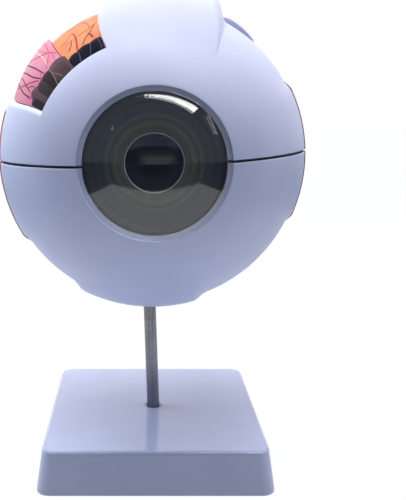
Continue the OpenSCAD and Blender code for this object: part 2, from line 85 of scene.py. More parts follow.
INFERIOR_0, INFERIOR_1 = 237.5, 287.5
OBLIQUE_0, OBLIQUE_1, OBLIQUE_H = 46.0, 60.5, 2.9
MUSCLE_CUT = 119.0
SWELL = 35.0

COS_LEAN, SIN_LEAN = cos(LEAN), sin(LEAN)


def place(p):
    """A point of the eye's frame, in the part's own frame."""
    x, y, z = p[0] + EYE_OFFSET, p[1], p[2] + EYE_HEIGHT
    return Vector((x * COS_LEAN - z * SIN_LEAN, y, BASE_H + x * SIN_LEAN + z * COS_LEAN)) * MM


def eye_point(co):
    """The inverse of place(): a point of the part's own frame, in the eye's frame."""
    x, y, z = co.x / MM, co.y / MM, co.z / MM - BASE_H
    return Vector((x * COS_LEAN + z * SIN_LEAN - EYE_OFFSET, y, -x * SIN_LEAN + z * COS_LEAN - EYE_HEIGHT))


def direction(polar, turn):
    """The unit vector that the two angles stand for."""
    p, t = radians(polar), radians(turn)
    return Vector((sin(p) * cos(t), -cos(p), sin(p) * sin(t)))


def polar_turn(p):
    """The inverse of direction()."""
    polar = degrees(acos(max(-1.0, min(1.0, -p.y / p.length))))
    return polar, degrees(atan2(p.z, p.x)) % 360


def smooth(t):
    t = max(0.0, min(1.0, t))
    return t * t * (3 - 2 * t)


def rounding(d, w):
    """How far a surface drops at distance d from an edge that is rounded with radius w."""
    return 0.0 if d >= w else w - sqrt(max(0.0, w * w - (w - d) ** 2))


def soft_max(a, b, k):
    h = max(k - abs(a - b), 0.0) / k
    return max(a, b) + h * h * k / 4


def soft_min(a, b, k):
    return -soft_max(-a, -b, k)


def span(a, b, n):
    return [a + (b - a) * i / n for i in range(n + 1)]


def arc_length(angle):
    """Length on the globe of an angle seen from its centre."""
    return radians(angle) * R


# ---- mesh helpers


def finish_mesh(name, bm, body, materials, angle=35.0, node=None):
    bmesh.ops.remove_doubles(bm, verts=bm.verts, dist=2e-6)
    bmesh.ops.recalc_face_normals(bm, faces=bm.faces)
    mesh = bpy.data.meshes.new(name)
    bm.to_mesh(mesh)
    bm.free()
    mesh.shade_smooth()
    mesh.set_sharp_from_angle(angle=radians(angle))
    obj = bpy.data.objects.new(name, mesh)
    bpy.context.scene.collection.objects.link(obj)
    for material in materials if isinstance(materials, list) else [materials]:
        mesh.materials.append(material)
    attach(obj, body)
    if node:
        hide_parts(node)
    return obj


def grid_solid(bm, grid, keep=lambda i, j: True, paint=lambda i, j: 0):
    """Closed shell from a grid of (outer point, inner point). keep says which cells are there,
    and paint gives the material of a cell's outer face."""
    rows, cols = len(grid), len(grid[0])
    cells = [(i, j) for i in range(rows - 1) for j in range(cols - 1) if keep(i, j)]
    there = set(cells)
    made = {}

    def vert(side, i, j):
        key = (side, i, j)
        if key not in made:
            made[key] = bm.verts.new(place(grid[i][j][side]))
        return made[key]

    for i, j in cells:
        corners = [(i, j), (i + 1, j), (i + 1, j + 1), (i, j + 1)]
        face = bm.faces.new([vert(0, *c) for c in corners])
        face.material_index = paint(i, j)
        bm.faces.new([vert(1, *c) for c in reversed(corners)])
        for (di, dj), a, b in (
            ((-1, 0), (i, j), (i, j + 1)),
            ((1, 0), (i + 1, j + 1), (i + 1, j)),
            ((0, -1), (i + 1, j), (i, j)),
            ((0, 1), (i, j + 1), (i + 1, j + 1)),
        ):
            if (i + di, j + dj) not in there:
                bm.faces.new([vert(0, *b), vert(0, *a), vert(1, *a), vert(1, *b)])


def grid_piece(name, grid, body, materials, node, slot, angle=35.0, **cells):
    bm = bmesh.new()
    grid_solid(bm, grid, **cells)
    return finish_mesh(name, bm, body, materials, angle, node)


def shell_points(polar, turn, r_out, r_in):
    """The outer and the inner point of a shell at one place of the globe."""
    d = direction(polar, turn)
    return d * r_out, d * r_in


def turned_solid(bm, profile, steps):
    """Turns a closed profile of (distance from the axis, distance in front of the centre)."""
    rings = []
    for k in range(steps):
        t = 2 * pi * k / steps
        rings.append([bm.verts.new(place((r * cos(t), -a, r * sin(t)))) for r, a in profile])
    for one, two in zip(rings, rings[1:] + rings[:1]):
        for i in range(len(profile)):
            j = (i + 1) % len(profile)
            if profile[i][0] > 1e-6 or profile[j][0] > 1e-6:
                bm.faces.new([one[i], one[j], two[j], two[i]])


def box_solid(bm, low, high):
    """A box in the part's own frame, in millimetres."""
    xs, ys, zs = zip(low, high)
    v = [bm.verts.new(Vector((x, y, z)) * MM) for x in xs for y in ys for z in zs]
    for f in ((0, 1, 3, 2), (4, 6, 7, 5), (0, 4, 5, 1), (2, 3, 7, 6), (0, 2, 6, 4), (1, 5, 7, 3)):
        bm.faces.new([v[k] for k in f])


def add_uv(obj, fn):
    layer = obj.data.uv_layers.new(name="UVMap")
    for loop in obj.data.loops:
        layer.data[loop.index].uv = fn(eye_point(obj.data.vertices[loop.vertex_index].co))


# ---- materials


def linear(r, g, b):
    """sRGB values from 0 to 255 as linear colour."""
    return (*(c / 255 / 12.92 if c <= 10 else ((c / 255 + 0.055) / 1.055) ** 2.4 for c in (r, g, b)), 1.0)


class Tree:
    """Short calls for the nodes of a material, the world or a lamp."""

    def __init__(self, owner):
        owner.use_nodes = True
        self.tree = owner.node_tree

    def new(self, kind, **inputs):
        node = self.tree.nodes.new(kind)
        for key, value in inputs.items():
            node.inputs[key.replace("_", " ")].default_value = value
        return node

    def link(self, a, b):
        self.tree.links.new(a, b)

    def feed(self, *pairs):
        for value, socket in pairs:
            if isinstance(value, bpy.types.NodeSocket):
                self.link(value, socket)
            else:
                socket.default_value = value

    def math(self, op, a, b=0.0, clamp=False):
        m = self.new("ShaderNodeMath")
        m.operation, m.use_clamp = op, clamp
        self.feed((a, m.inputs[0]), (b, m.inputs[1]))
        return m.outputs[0]

    def times(self, a, b, clamp=False):
        return self.math("MULTIPLY", a, b, clamp)

    def within(self, value, middle, half):
        """How far a value lies inside middle plus or minus half; below 0 outside."""
        return self.math("SUBTRACT", half, self.math("ABSOLUTE", self.math("SUBTRACT", value, middle)))

    def join(self, kind, *sources):
        """A shader that mixes or adds others, linked in the order of its sockets."""
        node = self.new(kind)
        for source, socket in zip(sources, node.inputs):
            self.link(source, socket)
        return node.outputs[0]

    def mixed(self, fac, a, b):
        return self.join("ShaderNodeMixShader", fac, a, b)

    def xyz(self, vector):
        sep = self.new("ShaderNodeSeparateXYZ")
        self.link(vector, sep.inputs[0])
        return list(sep.outputs)

    def rays(self):
        """Whether a ray is the camera's, and whether it is a mirror-like one seen from there."""
        path = self.new("ShaderNodeLightPath").outputs
        sharp = self.math("ADD", path["Is Glossy Ray"], path["Is Transmission Ray"], clamp=True)
        return path["Is Camera Ray"], self.times(sharp, self.math("LESS_THAN", path["Diffuse Depth"], 0.5))


class Nodes(Tree):
    """A material with a Principled shader, and short calls for what feeds it."""

    def __init__(self, name):
        self.mat = bpy.data.materials.new(name)
        super().__init__(self.mat)
        self.bsdf = self.tree.nodes["Principled BSDF"]

    def set(self, **inputs):
        for key, value in inputs.items():
            self.bsdf.inputs[key.replace("_", " ")].default_value = value

    def coords(self):
        return self.new("ShaderNodeTexCoord").outputs["Object"]

    def uv(self):
        return self.new("ShaderNodeUVMap").outputs["UV"]

    def noise(self, scale, detail=4.0, rough=0.55, vector=None, stretch=None):
        n = self.new("ShaderNodeTexNoise", Scale=scale, Detail=detail, Roughness=rough)
        source = vector or self.coords()
        if stretch:
            m = self.new("ShaderNodeMapping", Scale=stretch)
            self.link(source, m.inputs["Vector"])
            source = m.outputs["Vector"]
        self.link(source, n.inputs["Vector"])
        return n.outputs["Fac"]

    def ramp(self, fac, *stops):
        r = self.new("ShaderNodeValToRGB")
        while len(r.color_ramp.elements) < len(stops):
            r.color_ramp.elements.new(0.5)
        for e, (pos, colour) in zip(r.color_ramp.elements, stops):
            e.position, e.color = pos, colour
        self.link(fac, r.inputs["Fac"])
        return r.outputs["Color"]

    def mix(self, fac, a, b, blend="MIX"):
        m = self.new("ShaderNodeMix")
        m.data_type, m.blend_type = "RGBA", blend
        self.feed((fac, m.inputs[0]), (a, m.inputs[6]), (b, m.inputs[7]))
        return m.outputs[2]

    def colour(self, socket):
        self.link(socket, self.bsdf.inputs["Base Color"])

    def roughness(self, fac, low, high):
        m = self.new("ShaderNodeMapRange", From_Min=0.3, From_Max=0.7, To_Min=low, To_Max=high)
        self.link(fac, m.inputs["Value"])
        self.link(m.outputs["Result"], self.bsdf.inputs["Roughness"])

    def bump(self, height, strength, distance=0.001):
        b = self.new("ShaderNodeBump", Strength=strength, Distance=distance)
        self.link(height, b.inputs["Height"])
        self.link(b.outputs["Normal"], self.bsdf.inputs["Normal"])

    def cover(self, fac, shader):
        """Mixes another shader over the Principled one."""
        surface = self.tree.nodes["Material Output"].inputs["Surface"]
        self.link(self.mixed(fac, self.bsdf.outputs[0], shader), surface)


CLOUD = 0.03


def moulded(name, rgb, low=0.16, high=0.26):
    """Glossy moulded plastic: faint cloudiness, uneven polish and a slight orange-peel ripple."""
    n = Nodes(name)
    base = linear(*rgb)[:3]
    dark = (*(c * (1 - CLOUD * 1.6) for c in base), 1.0)
    light = (*(min(1.0, c * (1 + CLOUD)) for c in base), 1.0)
    n.colour(n.ramp(n.noise(28.0, 3.0), (0.32, dark), (0.68, light)))
    n.roughness(n.noise(90.0, 5.0), low, high)
    n.bump(n.noise(420.0, 2.0), 0.05, 0.0004)
    n.set(IOR=1.5)
    return n.mat


def painted(name, rgb, other, scale, low=0.3, high=0.5, bump=0.15, gloss=0.25):
    """Hand-painted surface: two brushed tones, brush marks and an uneven clear coat."""
    n = Nodes(name)
    n.set(Specular_IOR_Level=gloss)
    tone = n.noise(scale, 5.0, 0.6)
    n.colour(n.ramp(tone, (0.35, linear(*other)), (0.62, linear(*rgb))))
    n.roughness(n.noise(scale * 2.5, 4.0), low, high)
    n.bump(n.noise(scale * 4, 4.0), bump, 0.0006)
    return n.mat


def lobe_paint(name, rgb, other, scale=70.0, low=0.4, high=0.6, gloss=0.1):
    return painted("lobe_paint_" + name, rgb, other, scale, low, high, gloss=gloss)


def line_paint(name, rgb, other):
    return painted("line_paint_" + name, rgb, other, 200.0, bump=0.05)


WHITE = moulded("white_plastic_gloss", (221, 225, 243), 0.42, 0.5)
# A slightly darker, bluer copy of the white plastic for the oblique's tendon: painted shade.
TENDON_PAINTED_SHADE = moulded("tendon_plastic_painted_shade", (212, 215, 236), 0.3, 0.4)
# Dark grey plastic: painted shade in the seam's groove and on the upper half's counterbore wall.
PAINTED_SHADE_PLASTIC = moulded("seam_and_counterbore_painted_shade", (58, 58, 70), 0.5, 0.7)
BASE_WHITE = moulded("base_plastic_gloss", (206, 211, 232), 0.07, 0.13)
SHEATH = moulded("sheath_plastic_cream", (226, 214, 196))
PEG = moulded("peg_plastic", (206, 206, 212), 0.3, 0.45)
# Polished pupil chamfer: its gloss is real, and its pale grey is a painted highlight round the pupil's edge.
CHAMFER_PAINTED_HIGHLIGHT = moulded("iris_chamfer_polished_painted_highlight", (188, 190, 196), 0.1, 0.2)
PINK = painted("choroid_paint_gloss", (236, 148, 168), (228, 122, 146), 45.0)
ORANGE = painted("retina_paint_gloss", (240, 146, 84), (230, 120, 60), 50.0)
CHOROID_DARK = painted("choroid_dark_paint", (150, 50, 44), (110, 26, 26), 55.0)
CILIARY = painted("ciliary_paint_brown", (84, 62, 62), (54, 40, 42), 80.0)
NERVE = painted("nerve_paint_cream", (240, 222, 160), (222, 196, 128), 70.0)
ARTERY = painted("artery_paint_red", (196, 30, 30), (160, 16, 20), 90.0)
VEIN = painted("vein_paint_blue", (44, 70, 160), (28, 46, 120), 90.0)
LOBE_MAUVE = lobe_paint("mauve", (108, 82, 86), (88, 64, 68))
LOBE_GREY = lobe_paint("green_black", (58, 50, 50), (40, 36, 38))
LOBE_UMBER = lobe_paint("umber", (84, 66, 66), (58, 50, 50), 60.0)
LOBE_NAVY = lobe_paint("navy", (20, 23, 48), (11, 13, 30), 90.0, 0.35, 0.5, gloss=0.06)
LINE_RED = line_paint("red", (214, 46, 62), (190, 28, 46))
LINE_ROSE = line_paint("rose", (238, 96, 140), (226, 74, 118))
LINE_DARK = line_paint("plum", (52, 34, 44), (34, 24, 32))
LINE_BROWN = line_paint("brown", (104, 52, 34), (84, 40, 28))
LINE_YELLOW = line_paint("yellow", (252, 226, 160), (240, 206, 140))
LINE_MOSS = line_paint("moss", (150, 144, 92), (124, 120, 78))
LINE_LILAC = line_paint("lilac", (96, 90, 116), (72, 68, 92))


def muscle_material():
    """Red muscle: fibres of two tones, with pale strands between them."""
    n = Nodes("muscle_paint_fibres")
    strand = n.noise(1.0, 6.0, 0.65, vector=n.uv(), stretch=(160.0, 9.0, 1.0))
    blotch = n.noise(35.0, 3.0)
    red = n.ramp(strand, (0.3, linear(128, 22, 30)), (0.5, linear(186, 52, 58)),
                 (0.72, linear(226, 120, 118)))
    n.colour(n.mix(0.25, red, n.ramp(blotch, (0.35, linear(120, 20, 28)), (0.65, linear(214, 84, 84)))))
    n.roughness(n.noise(120.0, 4.0), 0.25, 0.42)
    n.bump(strand, 0.35, 0.0012)
    return n.mat


def steel_material():
    """Drawn steel rod: fine lines along it and round it, and a slightly dull skin."""
    n = Nodes("rod_steel_satin")
    lines = n.noise(900.0, 4.0, 0.6, stretch=(1.0, 1.0, 0.04))
    n.colour(n.ramp(lines, (0.3, linear(116, 118, 124)), (0.7, linear(150, 152, 158))))
    n.set(Metallic=1.0)
    n.roughness(n.noise(140.0, 3.0, 0.5, stretch=(0.2, 0.2, 3.0)), 0.24, 0.4)
    n.bump(lines, 0.12, 0.0002)
    return n.mat


def clear_material(name, rough=0.02, tint=(247, 250, 252)):
    """Clear polished plastic, which also lets the lamps light what lies behind it."""
    n = Nodes(name)
    cloudy = linear(*(c - 3 for c in tint))
    n.colour(n.ramp(n.noise(30.0, 2.0), (0.3, cloudy), (0.7, linear(*tint))))
    n.set(IOR=1.49, Transmission_Weight=1.0)
    n.roughness(n.noise(160.0, 5.0), rough, rough + 0.02)
    n.bump(n.noise(60.0, 2.0), 0.008, 0.0003)
    through = n.new("ShaderNodeBsdfTransparent", Color=linear(*tint))
    n.cover(n.new("ShaderNodeLightPath").outputs["Is Shadow Ray"], through.outputs[0])
    return n.mat


# The iris's colours from the pupil (0) to its edge (1)
IRIS_BANDS = [
    (0.0, (60, 57, 46)), (0.07, (82, 79, 66)), (0.17, (74, 72, 58)), (0.25, (86, 84, 70)),
    (0.33, (66, 68, 56)), (0.37, (48, 52, 46)), (0.42, (74, 78, 72)), (0.5, (60, 68, 70)),
    (0.56, (46, 55, 60)), (0.68, (54, 63, 71)), (0.76, (42, 50, 58)),
    (0.84, (48, 56, 64)), (1.0, (40, 46, 54)),
]


def iris_material():
    """Painted iris: olive and brown rings near the pupil, fine radial fibres, slate blue outside."""
    n = Nodes("iris_paint_olive")
    wobble = n.times(n.math("SUBTRACT", n.noise(55.0, 3.0), 0.5), 0.035)
    across = n.math("ADD", n.xyz(n.uv())[1], wobble)
    bands = n.ramp(across, *((at, linear(*rgb)) for at, rgb in IRIS_BANDS))
    fibres = n.noise(1.0, 4.0, 0.6, vector=n.uv(), stretch=(120.0, 2.0, 1.0))
    streaks = n.ramp(fibres, (0.3, (0.72, 0.72, 0.72, 1)), (0.7, (1.16, 1.15, 1.12, 1)))
    n.colour(n.mix(0.6, bands, n.mix(1.0, bands, streaks, "MULTIPLY")))
    n.roughness(n.noise(110.0, 3.0), 0.35, 0.5)
    n.bump(fibres, 0.06, 0.0004)
    return n.mat


MUSCLE = muscle_material()
STEEL = steel_material()
CLEAR = clear_material("cornea_plastic_clear")
# The lens and the vitreous body are tinted grey-blue so that the eye's inside, seen through the pupil, looks
# dark: painted shade.
LENS_SHADE_TINTED = clear_material("lens_plastic_shade_tinted", tint=(170, 178, 196))
VITREOUS_SHADE_TINTED = clear_material("vitreous_plastic_shade_tinted", rough=0.05, tint=(178, 186, 202))
IRIS = iris_material()

# ---- the globe's surfaces


def swell(polar):
    return SWELL * (1 - cos(radians(max(0.0, polar - 90.0))))


def left_wall(polar):
    """Distance from the optical axis to the superior rectus's wall, which is the window's edge."""
    return soft_min(SUPERIOR_LEFT * sin(radians(min(polar, 90.0))), SUPERIOR_LEFT_MOST, 2.0)


def right_wall(polar):
    return SUPERIOR_RIGHT - SUPERIOR_LEFT * (1 - sin(radians(min(polar, 90.0))))


def superior_top(polar):
    rise = smooth((polar - SUPERIOR_FRONT) / (SUPERIOR_LEVEL - SUPERIOR_FRONT))
    return R + SUPERIOR_H * rise + swell(polar)


def superior_round(polar):
    return min(SUPERIOR_ROUND, max(0.4, (superior_top(polar) - R) * 0.75))


def superior_inside(polar, turn, r):
    x = direction(polar, turn).x * r
    side = min(left_wall(polar) + x, right_wall(polar) - x)
    up = superior_top(polar) - r
    edge = superior_round(polar)
    if side <= 0 or up <= 0:
        return False
    if side < edge and up < edge:
        return (edge - side) ** 2 + (edge - up) ** 2 <= edge * edge
    return True


def superior_surface(polar, turn, floor=0.0):
    """Radius of the superior tendon and muscle with their upright walls, or floor beside them."""
    if not 40.0 < turn < 125.0:
        return floor
    top = superior_top(polar)
    step = (top - R + 4.0) / 40
    for k in range(40):
        a = top - 1e-3 - k * step
        if superior_inside(polar, turn, a):
            break
    else:
        return floor
    b = min(top, a + step)
    for _ in range(14):
        m = (a + b) / 2
        if superior_inside(polar, turn, m):
            a = m
        else:
            b = m
    return a


def wall_turn(x, polar, r):
    """Turn angle at which a point at radius r and distance x to the right of the axis lies."""
    reach = r * sin(radians(max(polar, 20.0)))
    return degrees(acos(max(-0.95, min(0.95, x / reach))))


def superior_columns(polar):
    """Turn angles across the superior rectus: foot, wall, rounded edge, level top and back down."""
    p = min(max(polar, 30.0), 112.0)
    top, edge = superior_top(p), superior_round(p)
    high = max(top - edge, R + 0.02)
    arc_steps = [radians(a) for a in range(9, 91, 9)]
    right, left = right_wall(p), left_wall(p)
    up = [wall_turn(right, p, r) for r in span(R, high, 8)]
    up += [wall_turn(right - edge * (1 - cos(a)), p, high + edge * sin(a)) for a in arc_steps]
    down = [wall_turn(-left + edge * (1 - cos(a)), p, high + edge * sin(a))
            for a in reversed(arc_steps)]
    down += [wall_turn(-left, p, r) for r in span(high, R, 8)]
    return up + span(up[-1], down[0], 26)[1:-1] + down


def window_edge(polar):
    return superior_columns(polar)[-1]


def side_band(polar, turn, h, front, end, t0, t1, soft=4.0):
    """Height of a low tendon whose edges melt into the globe."""
    if not t0 - soft < turn < t1 + soft or polar > end:
        return 0.0
    across = smooth((turn - t0 + soft * 0.5) / soft) * smooth((t1 - turn + soft * 0.5) / soft)
    return h * smooth((polar - front) / 30.0) * across


def window_side(polar):
    """Turn angle of the window's lower side."""
    return WINDOW_TURN_1 + 2.0 * smooth((polar - 48.0) / 24.0)


def window_drop(polar, turn):
    """Rounding of the sclera's edge round the window."""
    if turn < window_edge(polar) - 0.01:
        return 0.0
    across = max(turn - window_side(polar), 0.0) * sin(radians(polar))
    dx, dy = arc_length(across), arc_length(max(WINDOW_FRONT - polar, 0.0, polar - WINDOW_REAR))
    ledge_w, end_w = 2.4, 0.55
    if dx + dy < 1e-6:
        return ledge_w if turn > window_side(polar) - 0.01 else end_w
    return rounding(hypot(dx, dy), (dx * ledge_w + dy * end_w) / (dx + dy))


def seam_distance(polar, turn, r):
    return abs(r * sin(radians(polar)) * sin(radians(turn)))


def seam_drop(polar, turn, r, depth):
    """The recess and the rounded lip along the seam."""
    d = seam_distance(polar, turn, r)
    if d < SEAM_HALF + 0.003:
        return depth
    return rounding(d - SEAM_HALF, 0.5)


SEAM_STEPS = [0.1, 0.5, 0.506, 0.56, 0.64, 0.76, 0.9, 1.01, 1.3]


def seam_columns(polar, first):
    """Turn angles of the close lines beside one end of the seam."""
    rho = R * sin(radians(polar))
    scale = min(1.0, rho / 26.0)
    steps = [first] + SEAM_STEPS[1:]
    return [degrees(asin(min(1.0, s * scale / max(rho, 1e-3)))) for s in steps]


def upper_turns(polar, first):
    ends = seam_columns(polar, first)
    middle = superior_columns(polar)
    a, b = middle[0], middle[-1]
    ledge = [0.1, 0.25, 0.5, 0.8, 1.2, 1.7, 2.3, 3.0]
    inner = span(4, a - 3, 26) + span(a - 3, a, 10)[1:-1] + middle
    side = window_side(polar)
    inner += [b + 0.2, b + 0.5, b + 1.0] + span(b + 2, side - 1, 26) + [side]
    inner += [side + d for d in ledge] + span(side + 4, 176, 12)
    return ends + inner + [180.0 - e for e in reversed(ends)]


def lower_turns(polar, first):
    ends = seam_columns(polar, first)
    return ends + span(4, 176, 86) + [180.0 - e for e in reversed(ends)]


def sclera_radius(upper, polar, turn):
    r = R
    t = turn if upper else 360.0 - turn
    side = SIDE_H, SIDE_FRONT, SIDE_END + 0.05
    if upper:
        r += side_band(polar, t, *side, MEDIAL_0, 215.0) + side_band(polar, t, *side, -30.0, LATERAL_1)
        if polar <= SUPERIOR_END + 0.05:
            s = superior_surface(polar, t)
            fillet = min(6.0, 0.8 * (superior_top(polar) - R))
            if s > 0 and t < 90 and fillet > 0.05:
                r = soft_max(r, s, fillet)
            r = max(r, s)
        r -= window_drop(polar, t)
    else:
        inferior = INFERIOR_H, INFERIOR_FRONT, INFERIOR_END + 0.05, INFERIOR_0 + 1, INFERIOR_1 - 1, 6.0
        r += side_band(polar, t, *side, 150.0, MEDIAL_1)
        r += side_band(polar, t, *side, 360.0 + LATERAL_0, 390.0)
        r += side_band(polar, t, *inferior)
        if 90 < polar <= INFERIOR_END + 0.05:
            r += swell(polar) * smooth((t - INFERIOR_0 + 1) / 5) * smooth((INFERIOR_1 + 1 - t) / 5)
    return r


def sclera_half(upper):
    """One half of the sclera. Its rows run from the cornea's seat to the rear pole."""
    sign = 1 if upper else -1
    first = SEAM_STEPS[0] if upper else 0.0
    turns_at = upper_turns if upper else lower_turns
    edge_w = 0.6
    head = [(FRONT_BORE_R, COUNTERBORE_FLOOR, FLOOR_GROOVE), (COUNTERBORE_R, COUNTERBORE_FLOOR, FLOOR_GROOVE)]
    for angle in span(0, 90, 6):
        a = radians(angle)
        rho = COUNTERBORE_R + edge_w * (1 - cos(a))
        head.append((rho, sqrt(R * R - rho * rho) - edge_w * (1 - sin(a)), SEAM_DEPTH))
    first_polar = degrees(asin((COUNTERBORE_R + edge_w) / R))
    front_rows = [WINDOW_FRONT - d for d in (3.0, 2.0, 1.2, 0.8, 0.5, 0.35, 0.2, 0.1, 0.03, 0.0)]
    rows = span(first_polar, WINDOW_FRONT - 4, 10)[1:] + front_rows
    window_row = len(head) + len(rows) - 1
    rows += span(WINDOW_FRONT, SIDE_END + 0.05, 16)[1:]
    rows += [SIDE_END + 0.1, 78.5, 81.0, 83.5, 86.0, 86.1, 88.0, 91.0, 94.0, 97.0, 100.0, 102.0, 103.2]
    rows.append(WINDOW_REAR)
    rear_row = len(head) + len(rows) - 1
    rows += [WINDOW_REAR + d for d in (0.06, 0.12, 0.25, 0.4, 0.6, 1.2, 2.5, 5.0)] + span(112, 176, 32)
    rows += [178.0, 179.2, 180.0]
    grid = []
    for k, (rho, a, depth) in enumerate(head):
        polar, r = degrees(atan2(rho, a)), hypot(rho, a)
        grid.append([(direction(polar, sign * t) * (r - seam_drop(polar, t, r, depth)),
                      direction(26.0 + 0.12 * k, sign * t) * SCLERA_IN) for t in turns_at(polar, first)])
    for polar in rows:
        polar_in = max(polar, 26.0 + 0.12 * len(grid))
        line = []
        for t in turns_at(polar, first):
            r = sclera_radius(upper, polar, t) - seam_drop(polar, t, R, SEAM_DEPTH)
            line.append((direction(polar, sign * t) * r, direction(polar_in, sign * t) * SCLERA_IN))
        grid.append(line)
    columns = turns_at(60.0, first)
    c0, c1 = (columns.index(window_edge(60.0)), columns.index(window_side(60.0))) if upper else (0, 0)
    groove = {0, 1, len(columns) - 3, len(columns) - 2}

    # Painted shade: cells of the seam's groove, and in the upper half the counterbore's wall (row 1), get the
    # dark plastic.
    def in_painted_shade(i, j):
        return int(j in groove or (upper and i == 1))

    def keep(i, j):
        return not (window_row <= i < rear_row and c0 <= j < c1)

    side = "upper" if upper else "lower"
    grid_piece(f"sclera_{side}_shell", grid, f"{side}_half", [WHITE, PAINTED_SHADE_PLASTIC], f"sclera_{side}",
               "white_plastic", keep=keep, paint=in_painted_shade)


sclera_half(True)
sclera_half(False)

# ---- muscles


def muscle_uv(p):
    polar, turn = polar_turn(p)
    return (turn / 180, polar / 180)


def fibre_wave(polar, turn, pitch):
    """Height of the muscles' fibres, 1 and -1 being the usual ridge and groove."""
    slow = sin(turn * pitch + 0.6 * sin(polar * 0.21))
    return slow + 0.6 * sin(turn * pitch * 2.3 + polar * 0.08)


def band_muscle(node, body, h, front, level, start, cut, t0, t1, soft=4.0, seam=None):
    """A muscle that carries on its tendon's form, melts into the globe at its sides and leaves
    it behind the equator. seam says which side ends square at the seam."""
    rows = [start, start + 0.1, start + 0.25, start + 0.5, start + 0.9]
    rows += span(start + 1.5, cut - 2.4, 24) + [cut - 1.6, cut - 0.8, cut - 0.3, cut - 0.1, cut]
    low = t0 if seam == "low" else t0 - soft * 0.4
    high = t1 if seam == "high" else t1 + soft * 0.4

    def at(polar, turn):
        proud = 0.35 * (1 - smooth((polar - start - 2) / 8)) - rounding(arc_length(polar - start), 0.3)
        across = 1.0
        if seam != "low":
            across *= smooth((turn - t0 + soft * 0.5) / soft)
        if seam != "high":
            across *= smooth((t1 - turn + soft * 0.5) / soft)
        rise = h * smooth((polar - front) / (level - front)) + swell(polar)
        r = R + rise * across + proud * min(1.0, 3 * across)
        r -= 0.26 * smooth((polar - start - 3) / 6.0) * across * (0.5 + 0.32 * fibre_wave(polar, turn, 3.1))
        r -= rounding(arc_length(cut - polar), 1.2) * across
        return shell_points(polar, turn, max(r, R + 0.22), R + 0.1)

    grid = [[at(polar, turn) for turn in span(low, high, 52)] for polar in rows]
    add_uv(grid_piece(node + "_muscle", grid, body, MUSCLE, node, "muscle_paint"), muscle_uv)


SEAM_TURN = degrees(asin(SEAM_HALF / (R * 0.95)))
SIDE = SIDE_H, SIDE_FRONT, SIDE_FRONT + 30, SIDE_END + 0.1, MUSCLE_CUT
band_muscle("inferior_rectus", "lower_half", INFERIOR_H, INFERIOR_FRONT, 80.0, INFERIOR_END + 0.1,
            MUSCLE_CUT + 4, INFERIOR_0, INFERIOR_1, 5.0)
band_muscle("inferior_oblique", "lower_half", 3.0, 92.0, 102.0, 101.1, MUSCLE_CUT + 9, 300.0, 332.8, 5.0)
band_muscle("medial_rectus_lower", "lower_half", *SIDE, 180 + SEAM_TURN, MEDIAL_1, seam="low")
band_muscle("lateral_rectus_lower", "lower_half", *SIDE, 360 + LATERAL_0, 360 - SEAM_TURN, seam="high")
band_muscle("medial_rectus_upper", "upper_half", *SIDE, MEDIAL_0 + 3.5, 180 - SEAM_TURN, seam="high")
band_muscle("lateral_rectus_upper", "upper_half", *SIDE, SEAM_TURN, LATERAL_1, seam="low")


def superior_muscle():
    """The superior rectus: an upright-walled slab with rounded edges and a fibrous top."""
    start = SUPERIOR_END + 0.1
    rows = [start, start + 0.2, start + 0.7] + span(88, 116, 20) + [117.2, 118.2, 118.7, 118.9, MUSCLE_CUT]
    grid = []
    for polar in rows:
        columns = superior_columns(polar)
        line = []
        for turn in [columns[0] + 0.03] + columns[1:-1] + [columns[-1] - 0.03]:
            r = superior_surface(polar, turn, R + 0.25)
            wave = fibre_wave(polar, turn, 2.7)
            r -= 0.35 * smooth((polar - start) / 4) * (0.5 + 0.32 * wave) * smooth((r - R) / 4)
            r -= rounding(arc_length(MUSCLE_CUT - polar), 2.0)
            line.append(shell_points(polar, turn, max(r, R + 0.25), R + 0.1))
        grid.append(line)
    obj = grid_piece("superior_rectus_muscle", grid, "upper_half", MUSCLE, "superior_rectus", "muscle_paint")
    add_uv(obj, muscle_uv)


superior_muscle()



def oblique_tendon():
    """The superior oblique's tendon: a strip that tapers to both ends."""
    steps = 40
    grid = []
    for polar in [80.0, 80.2, 80.6] + span(81.2, 86.4, 8) + [86.8, 87.0]:
        edge = rounding(arc_length(polar - 80.0), 1.0) + rounding(arc_length(87.0 - polar), 1.0)
        line = []
        for k, turn in enumerate(span(OBLIQUE_0, OBLIQUE_1, steps)):
            rise = OBLIQUE_H * (0.4 + 0.6 * k / steps) * sin(pi * (k + 0.01) / (steps + 1)) ** 0.3
            line.append(shell_points(polar, turn, R + 0.12 + rise - min(rise, edge), R + 0.08))
        grid.append(line)
    grid_piece("superior_oblique_tendon", grid, "upper_half", TENDON_PAINTED_SHADE, "superior_oblique", "tendon_plastic")


oblique_tendon()

# ---- window: fields, lobes and painted lines


def ball_radius(polar, turn, off, off_turn, ball_r):
    """Distance from the eye's centre to the face of a ball that is set off towards off_turn."""
    c = direction(polar, turn).dot(direction(90.0, off_turn)) * off
    return c + sqrt(ball_r * ball_r - off * off + c * c)


def pink_radius(polar, turn):
    return ball_radius(polar, turn, **PINK_BALL)


def orange_radius(polar, turn):
    return ball_radius(polar, turn, **ORANGE_BALL)


def field_radius(polar, turn):
    """The face that the lobes lie on: both fields, and the higher one where they meet."""
    if turn >= WINDOW_MID:
        return pink_radius(polar, turn)
    if turn > WINDOW_MID - 2.0:
        return max(pink_radius(polar, turn), orange_radius(polar, turn))
    return orange_radius(polar, turn)


FIELD_REAR = WINDOW_REAR - 0.3


